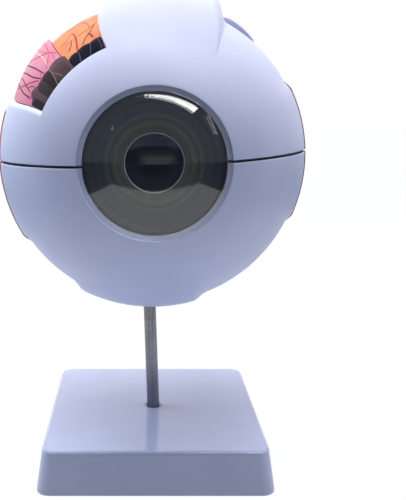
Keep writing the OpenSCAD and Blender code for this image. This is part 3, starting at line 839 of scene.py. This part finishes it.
def lining(name, node, material, slot, r_in, r_out, field, t_from, t_to, hole=None):
    """The upper half of a lining, with the block of it that fills part of the window. field is
    the radius of that block's face. With hole, what lies between the window's upper edge and
    that turn angle is left out."""
    rows = [LINING_POLAR] + span(48, FIELD_REAR, 44) + [FIELD_REAR + 0.02] + span(106, 180, 38)
    grid = []
    for polar in rows:
        edge = window_edge(polar)
        rho = max(r_out * sin(radians(polar)), 0.1)
        first = degrees(asin(min(0.5, 0.2 / rho)))
        start = t_from or edge + 0.15
        stop = t_to or window_side(polar) - 0.3
        cols = [first] + span(4, 100, 30) + ([edge - 0.1, hole] if hole else [edge - 0.2])
        gap = cols.index(hole) - 1 if hole else None
        cols += [start - 0.02, start] + span(start, stop, 30)[1:-1] + [stop, stop + 0.02]
        cols += span(stop + 2, 176, 8) + [180 - first]
        line = []
        for turn in cols:
            in_block = start - 0.001 <= turn <= stop + 0.001 and polar <= FIELD_REAR + 0.001
            line.append(shell_points(polar, turn, field(polar, turn) if in_block else r_out, r_in))
        grid.append(line)
    rear = rows.index(FIELD_REAR)
    grid_piece(name, grid, "upper_half", material, node, slot, keep=lambda i, j: i >= rear or j != gap)


lining("choroid_upper_painted", "choroid_upper", PINK, "choroid_paint", CHOROID_IN, CHOROID_OUT, pink_radius,
       WINDOW_MID, None, hole=WINDOW_MID - 0.15)
lining("retina_upper_painted", "retina_upper", ORANGE, "retina_paint", RETINA_IN, RETINA_OUT, orange_radius,
       None, WINDOW_MID - 0.3)

# Lobes at the window's front: polar angle, turn angle and radius of each, as in the CAD source
MUSCLE_LOBES = [(52.8, 134.0, 6.8), (54.5, 140.0, 4.4), (54.0, 144.3, 5.0), (57.0, 148.7, 3.2),
                (53.5, 151.8, 4.6)]
SERRATA_LOBES = [(50.6, 125.2, 4.0), (50.7, 119.6, 4.8), (50.6, 113.0, 5.3)]
LOBE_SPLIT = 128.4


def lobe_offset(polar, turn, lobe):
    """Distance of a point from a lobe's centre, across and behind it, in millimetres."""
    across = arc_length(turn - lobe[1]) * sin(radians(lobe[0]))
    return across, max(0.0, arc_length(polar - lobe[0]))


def lobe_height(polar, turn, lobes):
    """Height over the field, and which lobe it is."""
    best, which = 0.12, 0
    for k, lobe in enumerate(lobes):
        across, behind = lobe_offset(polar, turn, lobe)
        d = hypot(across, behind) / lobe[2]
        h = 0.12 + 0.75 * sqrt(max(0.0, 1 - d * d))
        if h > best:
            best, which = h, k
    return best, which


def lobe_surface(lobes):
    def radius(polar, turn):
        ripple = 0.08 * noise.noise(Vector((polar * 0.5, turn * 0.5, 3.0)))
        return field_radius(polar, turn) + lobe_height(polar, turn, lobes)[0] + ripple
    return radius


def lobe_field(name, node, materials, slot, lobes, t0, t1):
    """Scalloped, softly domed lobes side by side. Each has its own material."""
    cols = span(t0, t1, int((t1 - t0) * 3.6))
    radius = lobe_surface(lobes)
    root = min(lobe[0] for lobe in lobes)
    front = WINDOW_FRONT + 0.2
    steps = 40
    grid, kinds = [], []
    for i in range(steps + 1):
        u = 1 - (1 - i / steps) ** 1.7
        line, kind = [], []
        for turn in cols:
            rear = root
            for lobe in lobes:
                across = lobe_offset(lobe[0], turn, lobe)[0]
                if abs(across) < lobe[2]:
                    rear = max(rear, lobe[0] + degrees(sqrt(lobe[2] ** 2 - across ** 2) / R))
            polar = front + (rear - front) * u
            line.append(shell_points(polar, turn, radius(polar, turn), field_radius(polar, turn) + 0.04))
            kind.append(lobe_height(polar, turn, lobes)[1] % len(materials))
        grid.append(line)
        kinds.append(kind)
    grid_piece(name, grid, "upper_half", materials, node, slot, 50, paint=lambda i, j: kinds[i][j])


lobe_field("ciliary_muscle_lobes_painted", "ciliary_muscle_lobes", [LOBE_MAUVE, LOBE_GREY, LOBE_UMBER],
           "muscle_lobe_paint", MUSCLE_LOBES, LOBE_SPLIT + 0.05, WINDOW_TURN_1 - 0.2)
lobe_field("ora_serrata_lobes_painted", "ora_serrata_lobes", [LOBE_NAVY], "serrata_paint", SERRATA_LOBES,
           111.2, LOBE_SPLIT - 0.05)


def curve_through(points, steps=8):
    """Points along a smooth curve through the given (polar, turn) pairs."""
    dense = []
    ends = [points[0]] + points + [points[-1]]
    for four in zip(ends, ends[1:], ends[2:], ends[3:]):
        for s in range(steps):
            t = s / steps
            dense.append(tuple(
                0.5 * (2 * b + (c - a) * t + (2 * a - 5 * b + 4 * c - d) * t * t
                       + (3 * b - a - 3 * c + d) * t ** 3)
                for a, b, c, d in zip(*four)))
    return dense + [points[-1]]


def strokes(name, material, radius_of, lines, lift=0.1):
    """Painted lines: flat beads of paint that follow a surface. Each line is (width, points)."""
    bm = bmesh.new()
    for width, points in lines:
        centre = [direction(*d) * radius_of(*d) for d in curve_through(points)]
        rings = []
        for k, p in enumerate(centre):
            ahead = centre[min(k + 1, len(centre) - 1)] - centre[max(k - 1, 0)]
            side = ahead.cross(p).normalized()
            along = k / (len(centre) - 1)
            w = width * (0.45 + 0.55 * sin(pi * (0.12 + 0.76 * along)))
            w *= 1 + 0.2 * noise.noise(Vector((k * 0.6, width * 7, len(points))))
            ring = []
            for u, h in ((-1, -0.15), (-0.8, lift * 0.6), (0, lift), (0.8, lift * 0.6), (1, -0.15)):
                q = p + side * (u * w / 2)
                ring.append(bm.verts.new(place(q.normalized() * (radius_of(*polar_turn(q)) + h))))
            rings.append(ring)
        for a, b in zip(rings, rings[1:]):
            for c in range(5):
                bm.faces.new([a[c], a[(c + 1) % 5], b[(c + 1) % 5], b[c]])
        bm.faces.new(list(reversed(rings[0])))
        bm.faces.new(rings[-1])
    finish_mesh(name, bm, "upper_half", material, 60)


# The vessels follow the lines in the photograph: their points were marked on it and turned
# into angles. Each is (width in mm, (polar, turn) along it)
strokes("choroid_lines_plum", LINE_DARK, pink_radius, [
    (0.55, [(80, 141.0), (74, 138.6), (69.5, 135.6), (66.6, 133.4)]),
    (0.8, [(84, 142.6), (74, 141.6), (65.5, 140.6), (58.8, 139.8)]),
    (0.75, [(82, 145.6), (73, 144.6), (64.5, 143.9), (58.4, 142.2)]),
    (0.6, [(80, 147.2), (72, 147.4), (65, 148.6), (61, 149.6)]),
    (0.8, [(82, 149.6), (73, 150.4), (66, 151.4), (59.4, 151.6)]),
    (0.45, [(64.5, 148.9), (62, 147.2), (59.8, 146.6)]),
])
strokes("choroid_lines_red", LINE_RED, pink_radius, [
    (0.5, [(67.6, 134.2), (65.6, 132.4), (63.2, 131.2), (60.8, 130.4)]),
    (0.4, [(65.8, 132.8), (62.4, 134.8), (59.6, 137.6)]),
    (0.3, [(65.0, 132.2), (61.6, 132.0), (58.6, 132.6)]),
    (0.8, [(76, 151.4), (70, 149.4), (64.6, 146.6), (59.4, 143.6)]),
    (0.35, [(90, 137.0), (80, 135.0), (72, 134.6), (66.8, 133.2)]),
])
strokes("choroid_lines_rose", LINE_ROSE, pink_radius, [
    (0.9, [(84, 132.6), (76, 131.8), (70, 132.2), (66.4, 132.6)]),
    (0.7, [(62, 140.4), (60, 141.2), (58.6, 142.0)]),
    (0.3, [(92, 146.0), (84, 144.0), (76, 143.2)]),
])
strokes("choroid_lines_yellow", LINE_YELLOW, pink_radius, [
    (0.55, [(84, 137.4), (74, 136.2), (66, 135.6), (59.8, 136.6)]),
])
strokes("retina_lines_red", LINE_RED, orange_radius, [
    (1.15, [(69.5, 121.4), (65.8, 120.6), (61.5, 120.9), (57.4, 121.8), (54.4, 122.8)]),
    (0.6, [(84, 118.6), (77, 116.2), (70.5, 114.3), (64.6, 113.9)]),
    (1.3, [(61.2, 115.2), (58.6, 114.5), (56.6, 114.2)]),
    (0.35, [(96, 121.0), (90, 119.2), (84, 118.6)]),
])
strokes("retina_lines_plum", LINE_DARK, orange_radius, [
    (0.55, [(65.6, 111.9), (61.6, 114.1), (58.2, 117.6), (55.6, 119.6)]),
    (0.5, [(63.6, 122.2), (60.2, 123.7), (57.2, 126.0)]),
])
strokes("retina_lines_brown", LINE_BROWN, orange_radius, [
    (0.3, [(64.2, 127.8), (65.6, 124.4), (68.4, 121.8)]),
    (0.25, [(62.6, 126.2), (62.4, 122.8)]),
    (0.3, [(63.4, 119.4), (64.2, 114.6), (66.6, 110.9)]),
    (0.25, [(84, 125.0), (76, 121.6), (78, 117.4), (86, 113.6)]),
    (0.25, [(96, 114.0), (89, 112.4), (82, 111.4)]),
])
strokes("lobe_lines_moss", LINE_MOSS, lobe_surface(MUSCLE_LOBES), [
    (0.55, [(57.4, 137.2), (54, 137.3), (50.8, 138.2), (48.0, 139.4)]),
    (0.5, [(54, 137.3), (51.6, 136.0), (48.8, 134.8)]),
], lift=0.07)
strokes("lobe_lines_lilac", LINE_LILAC, lobe_surface(SERRATA_LOBES), [
    (0.4, [(52.2, 122.7), (49.6, 123.2), (47.2, 124.2)]),
    (0.4, [(53.2, 116.4), (50, 117.4), (47.4, 118.6)]),
    (0.35, [(54.4, 112.8), (51, 112.3), (47.4, 112.6)]),
], lift=0.05)

# ---- front of the eye


def arc(centre, r, a0, a1, n):
    """Points of a circle round (0, centre) from angle a0 to a1, measured from the axis."""
    return [(r * sin(radians(a)), centre + r * cos(radians(a))) for a in span(a0, a1, n)]


def turned_piece(name, profile, body, materials, node, angle=30, steps=192):
    bm = bmesh.new()
    turned_solid(bm, profile, steps)
    return finish_mesh(name, bm, body, materials, angle=angle, node=node)


def cornea_profile():
    """Dome with a small fillet where it meets its flange."""
    r_in = DOME_R - DOME_WALL
    rim_out = degrees(asin(DOME_BASE_R / DOME_R))
    rim_in = degrees(acos((FLANGE_BACK - DOME_CENTRE) / r_in))
    outer = arc(DOME_CENTRE, DOME_R, 0, rim_out - 0.5, 30)
    fillet = [(DOME_BASE_R - 0.08, FLANGE_FRONT + 0.07), (DOME_BASE_R + 0.1, FLANGE_FRONT)]
    flange = [(CORNEA_R - 0.3, FLANGE_FRONT), (CORNEA_R - 0.1, FLANGE_FRONT - 0.08),
              (CORNEA_R, FLANGE_FRONT - 0.3), (CORNEA_R, FLANGE_BACK)]
    return outer + fillet + flange + list(reversed(arc(DOME_CENTRE, r_in, 0, rim_in, 30)))


turned_piece("cornea_dome", cornea_profile(), "cornea", CLEAR, "cornea")

FURROWS, FURROW_D = 6, 0.12


def iris_profile():
    profile = [(PUPIL_R, IRIS_BACK), (PUPIL_R, IRIS_FRONT - 0.5), (PUPIL_R + 0.08, IRIS_FRONT - 0.3),
               (PUPIL_R + 0.35, IRIS_FRONT - 0.04), (PUPIL_R + 0.5, IRIS_FRONT)]
    step = (IRIS_R - PUPIL_R - 4) / FURROWS
    for k in range(FURROWS):
        r = PUPIL_R + 2 + (k + 0.5) * step
        for d, deep in ((-1 / 3, 0.0), (-1 / 6, 0.6), (0, 1.0), (1 / 6, 0.6), (1 / 3, 0.0)):
            profile.append((r + d * step, IRIS_FRONT - deep * FURROW_D))
    return profile + [(IRIS_R - 0.2, IRIS_FRONT), (IRIS_R, IRIS_FRONT - 0.2), (IRIS_R, IRIS_BACK)]


iris = turned_piece("iris_painted", iris_profile(), "iris", [IRIS, CHAMFER_PAINTED_HIGHLIGHT], "iris", angle=40)
# The pupil's chamfer faces get the pale chamfer plastic, a painted highlight round the pupil.
for face in iris.data.polygons:
    p = eye_point(face.center)
    if hypot(p.x, p.z) < PUPIL_R + 0.37 and IRIS_FRONT - 0.48 < -p.y < IRIS_FRONT - 0.001:
        face.material_index = 1
add_uv(iris, lambda p: (atan2(p.z, p.x) / (2 * pi) + 0.5,
                        (hypot(p.x, p.z) - PUPIL_R) / (IRIS_R - PUPIL_R)))


def lens_profile():
    front_sag = LENS_FRONT_R - sqrt(LENS_FRONT_R ** 2 - LENS_R ** 2)
    back_sag = LENS_BACK_R - sqrt(LENS_BACK_R ** 2 - LENS_R ** 2)
    rim_front = LENS_TOP - front_sag
    rim_back = rim_front - LENS_EDGE_T
    front_edge = degrees(asin(LENS_R / LENS_FRONT_R))
    back_edge = degrees(asin(LENS_R / LENS_BACK_R))
    back_centre = rim_back - back_sag + LENS_BACK_R
    front = arc(LENS_TOP - LENS_FRONT_R, LENS_FRONT_R, 0, front_edge - 0.4, 20)
    rim = [(LENS_R, rim_front - 0.3), (LENS_R, rim_back + 0.3)]
    back = [(r, 2 * back_centre - a) for r, a in arc(back_centre, LENS_BACK_R, back_edge - 0.5, 0, 20)]
    return front + rim + back


turned_piece("lens_clear", lens_profile(), "lens", LENS_SHADE_TINTED, "lens")

# ---- base


def square_ring(w, r, z, steps=10):
    """A rounded square of half width w and corner radius r, at height z."""
    points = []
    for quarter in range(4):
        turn = radians(90 * quarter)
        c, s = cos(turn), sin(turn)
        corner = [(w, y * (w - r)) for y in span(-1, 0.98, 14)]
        corner += [(w - r + r * cos(radians(a)), w - r + r * sin(radians(a)))
                   for a in span(0, 90, steps)]
        points += [Vector((x * c - y * s, x * s + y * c, z)) for x, y in corner]
    return points


def round_ring(r, z):
    """A circle round the rod's axis, with a point for each point of a square ring."""
    shift = -(z - BASE_H) * tan(LEAN)
    like = square_ring(BASE_TOP_W / 2, BASE_CORNER_R, BASE_H)
    return [Vector((shift + r * p.x / p.xy.length, r * p.y / p.xy.length, z)) for p in like]


def base_solid():
    """The base moulding, from the rod's hole over the top, down the sides and up the hollow to
    the boss round the hole. Its ribs are separate closed bars, a little sunk into it."""
    w0, w1, h, e = BASE_W / 2, BASE_TOP_W / 2, BASE_H, BASE_EDGE_R
    slope = (w0 - w1) / (h - e)
    hole = ROD_R + ROD_FIT
    rings = [round_ring(hole, FOOT_FLOOR), round_ring(hole, h - FOOT_CHAMFER)]
    rings += [round_ring(hole + FOOT_CHAMFER - 0.15, h - 0.15), round_ring(hole + FOOT_CHAMFER, h)]
    rings += [round_ring(r, h) for r in (6.0, 10.0, 20.0, 32.0)]
    rings.append(square_ring(w1 - e - 2, BASE_CORNER_R - e, h))
    for angle in span(0, 90, 8):
        a = radians(angle)
        out = e * (sin(a) - 1)
        rings.append(square_ring(w1 + out, BASE_CORNER_R + out, h - e * (1 - cos(a))))
    for z in (12.0, 8.0, 4.0, 0.7):
        rings.append(square_ring(w1 + slope * (h - e - z), BASE_CORNER_R, z))
    rings += [square_ring(w0 - 0.1, BASE_CORNER_R, 0.25), square_ring(w0 - 0.4, BASE_CORNER_R - 0.3, 0.0)]
    inner_w, inner_r, ceiling = w0 - BASE_WALL, BASE_CORNER_R - BASE_WALL, h - BASE_WALL
    rings.append(square_ring(inner_w, inner_r, 0.0))
    rings.append(square_ring(inner_w - slope * (ceiling - 0.5), inner_r, ceiling - 0.5))
    rings.append(square_ring(inner_w - slope * ceiling - 0.5, inner_r, ceiling))
    rings += [round_ring(r, ceiling) for r in (20.0, FOOT_BOSS_R + 1.0)]
    rings += [round_ring(FOOT_BOSS_R, ceiling - 0.8), round_ring(FOOT_BOSS_R, 0.4)]
    rings += [round_ring(FOOT_BOSS_R - 0.4, 0.0), round_ring(4.0, 0.0)]
    bm = bmesh.new()
    made = [[bm.verts.new(p * MM) for p in ring] for ring in rings]
    for one, two in zip(made, made[1:]):
        for k in range(len(one)):
            n = (k + 1) % len(one)
            bm.faces.new([one[k], one[n], two[n], two[k]])
    bm.faces.new(made[0])
    bm.faces.new(list(reversed(made[-1])))
    low, high = RIB_CLEAR, ceiling + 0.2
    near, far = FOOT_BOSS_R - 0.4, inner_w + 0.1 - slope * ceiling
    for s in (-1, 1):
        xs = sorted((s * near, s * far))
        box_solid(bm, (xs[0], -RIB_T / 2, low), (xs[1], RIB_T / 2, high))
        box_solid(bm, (-RIB_T / 2, xs[0], low), (RIB_T / 2, xs[1], high))
    return bm


finish_mesh("base_moulding", base_solid(), "stand", BASE_WHITE, node="base")

# ---- materials of the CAD nodes that stay

KEPT = {
    "support_rod": STEEL, "choroid_lower": CHOROID_DARK, "retina_lower": ORANGE,
    "ciliary_body_lower": CILIARY, "ciliary_body_upper": CILIARY, "optic_nerve": NERVE,
    "nerve_sheath": SHEATH, "central_artery": ARTERY, "central_vein": VEIN,
    "seam_pegs": PEG, "vitreous_body": VITREOUS_SHADE_TINTED,
}
for node, material in KEPT.items():
    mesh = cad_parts[node].data
    mesh.materials.clear()
    mesh.materials.append(material)

# ---- floor, world, lamps and camera


def stage_plane():
    """The pale floor. Seen directly it is white but for the object's shadow. What mirrors it
    sees the white table of a light tent, and dark round it."""
    bm = bmesh.new()
    corners = ((-3, -3, 0), (3, -3, 0), (3, 4, 0), (-3, 4, 0))
    bm.faces.new([bm.verts.new(c) for c in corners])
    mesh = bpy.data.meshes.new("floor")
    bm.to_mesh(mesh)
    bm.free()
    floor = bpy.data.objects.new("floor", mesh)
    bpy.context.scene.collection.objects.link(floor)
    n = Nodes("floor_pale")
    seen, mirrored = n.rays()
    n.colour(n.mix(seen, (0.08, 0.08, 0.09, 1), (0.8, 0.81, 0.84, 1)))
    n.set(Roughness=0.7, Specular_IOR_Level=0.2, Emission_Color=FLOOR_GLOW)
    white = n.new("ShaderNodeEmission", Color=(1, 1, 1, 1), Strength=1.0)
    x, y, _ = n.xyz(n.coords())
    behind_edge = n.times(n.math("ADD", y, TABLE_FRONT), EDGE_SHARP, clamp=True)
    between_edges = n.times(n.within(x, TABLE_MIDDLE, TABLE_HALF), EDGE_SHARP, clamp=True)
    on_table = n.times(behind_edge, between_edges)
    n.link(n.math("SUBTRACT", 1.0, mirrored), n.bsdf.inputs["Emission Strength"])
    bright = n.math("ADD", seen, n.times(mirrored, on_table), clamp=True)
    n.cover(n.times(bright, FLOOR_WHITE), white.outputs[0])
    mesh.materials.append(n.mat)


FLOOR_WHITE = 0.93
TABLE_FRONT, TABLE_MIDDLE, TABLE_HALF, EDGE_SHARP = 0.31, 0.02, 0.285, 60.0
FLOOR_GLOW = (0.40, 0.44, 0.56, 1)
stage_plane()

# Soft lobes of light: the direction they come from, how tight they are, and their colour
SOFT_LIGHT = [
    ((0, 0, 1), 16, (2.4, 2.6, 4.0)),
    ((0, 1, 0), 16, (6.0, 6.0, 5.0)),
    ((-1, 1, 0), 4, (0.7, 1.2, 2.4)),
    ((1, 0, 0), 16, (1.0, 1.2, 1.8)),
    ((1, 0, 1), 16, (0.8, 0.8, 0.8)),
]


def world_light():
    """White where the camera looks, a studio's soft light for the surfaces, and for their
    mirror-like reflections a white backdrop behind the object and a dark room before it."""
    world = bpy.data.worlds.new("studio")
    bpy.context.scene.world = world
    w = Tree(world)
    w.tree.nodes.clear()
    out = w.new("ShaderNodeOutputWorld")
    view = w.new("ShaderNodeTexCoord").outputs["Generated"]
    x, y, z = w.xyz(view)

    def glow(colour, strength=1.0):
        node = w.new("ShaderNodeBackground", Color=(*colour, 1.0))
        w.feed((strength, node.inputs["Strength"]))
        return node.outputs[0]

    def peak(cosine, power):
        return w.math("POWER", w.math("MAXIMUM", cosine), power)

    total = None
    for axis, power, colour in SOFT_LIGHT:
        dot = w.new("ShaderNodeVectorMath")
        dot.operation = "DOT_PRODUCT"
        w.feed((view, dot.inputs[0]), (Vector(axis).normalized(), dot.inputs[1]))
        lobe = glow(colour, peak(dot.outputs["Value"], power))
        total = w.join("ShaderNodeAddShader", total, lobe) if total else lobe
    white = glow((1, 1, 1))
    aside = w.times(w.math("ADD", y, 0.9), 6.0, clamp=True)
    wide = w.times(w.within(x, 0.07, 0.36), 6.0, clamp=True)
    level = w.times(w.within(z, 0.0, 0.12), 14.0, clamp=True)
    spot = w.times(w.times(wide, level), w.math("LESS_THAN", y, 0.0))
    room = w.mixed(spot, w.mixed(aside, glow(ROOM), glow(ROOM_WALL)), glow(ROOM_PATCH))
    rear = w.times(w.math("ADD", y, 0.02), 25.0, clamp=True)
    ceiling = glow(CEILING_LAMP, w.times(peak(z, 70.0), 3.0))
    mirror = w.join("ShaderNodeAddShader", w.mixed(rear, room, white), ceiling)
    seen, mirrored = w.rays()
    w.link(w.mixed(seen, w.mixed(mirrored, total, mirror), white), out.inputs["Surface"])


ROOM = (0.05, 0.055, 0.08)
ROOM_WALL = (0.24, 0.26, 0.3)
ROOM_PATCH = (0.38, 0.36, 0.4)
CEILING_LAMP = (0.9, 0.95, 1)
world_light()


def add_lamp(name, location, rotation, size, power):
    light = bpy.data.lights.new(name, "AREA")
    light.shape, light.size, light.size_y, light.energy = "RECTANGLE", size[0], size[1], power
    obj = bpy.data.objects.new(name, light)
    obj.location, obj.rotation_euler = location, rotation
    bpy.context.scene.collection.objects.link(obj)
    return obj


def softbox(name, location, size, power):
    """A small softbox over the object, aimed at the eyeball."""
    aim = Vector((0, 0, 0.12)) - Vector(location)
    return add_lamp(name, location, aim.to_track_quat("-Z", "Y").to_euler(), size, power)


for name, location, size, power in (
    ("softbox_top", (0, -0.05, 0.62), (0.4, 0.2), 1.2),
    ("softbox_rear", (0, 0.15, 0.6), (0.5, 0.3), 0.5),
    ("softbox_left", (-0.28, 0.12, 0.48), (0.3, 0.3), 1.5),
    ("softbox_right", (0.28, 0.12, 0.48), (0.3, 0.3), 0.6),
    ("softbox_side", (-0.4, 0.1, 0.14), (0.3, 0.3), 0.2),
):
    softbox(name, location, size, power).visible_glossy = False


def strip_lamp():
    """An LED panel above and behind the camera. Its rows of LEDs show in the cornea."""
    obj = add_lamp("led_strip", (0.32, -0.407, 1.04), (0, 0, radians(-6.3)), (0.9, 0.17), STRIP_POWER)
    obj.visible_diffuse = False
    lamp = Tree(obj.data)
    x, y, _ = lamp.xyz(lamp.new("ShaderNodeNewGeometry").outputs["Parametric"])
    led = lamp.math("GREATER_THAN", lamp.math("FRACT", lamp.times(x, LEDS)), 0.3)
    half = lamp.math("ADD", lamp.times(x, 0.42), 0.08)
    lit = lamp.math("LESS_THAN", lamp.math("ABSOLUTE", lamp.math("SUBTRACT", y, 0.5)), half)
    strength = lamp.times(lamp.math("ADD", led, 0.25), lit)
    lamp.link(strength, lamp.tree.nodes["Emission"].inputs["Strength"])


STRIP_POWER, LEDS = 9.0, 22.0
strip_lamp()
# Two small lamps that show only as highlights
softbox("strip_end", (0.82, -0.31, 0.62), (0.03, 0.3), 0.1).visible_diffuse = False
softbox("spark", (-0.64, -0.6, 0.64), (0.012, 0.05), 0.02).visible_diffuse = False

camera = bpy.data.cameras.new("camera")
camera.sensor_fit = "AUTO"
camera.sensor_width = 36.0
camera.lens = 734.292 / 500 * 36.0
camera.shift_x, camera.shift_y = 0.133, -0.16
camera.clip_start, camera.clip_end = 0.01, 20.0
eye = bpy.data.objects.new("camera", camera)
eye.location = (-0.008274, -0.349986, 0.168648)
eye.rotation_euler = (radians(90 - 5.51), 0, 0)
bpy.context.scene.collection.objects.link(eye)
bpy.context.scene.camera = eye
bpy.context.scene.view_settings.view_transform = "Standard"
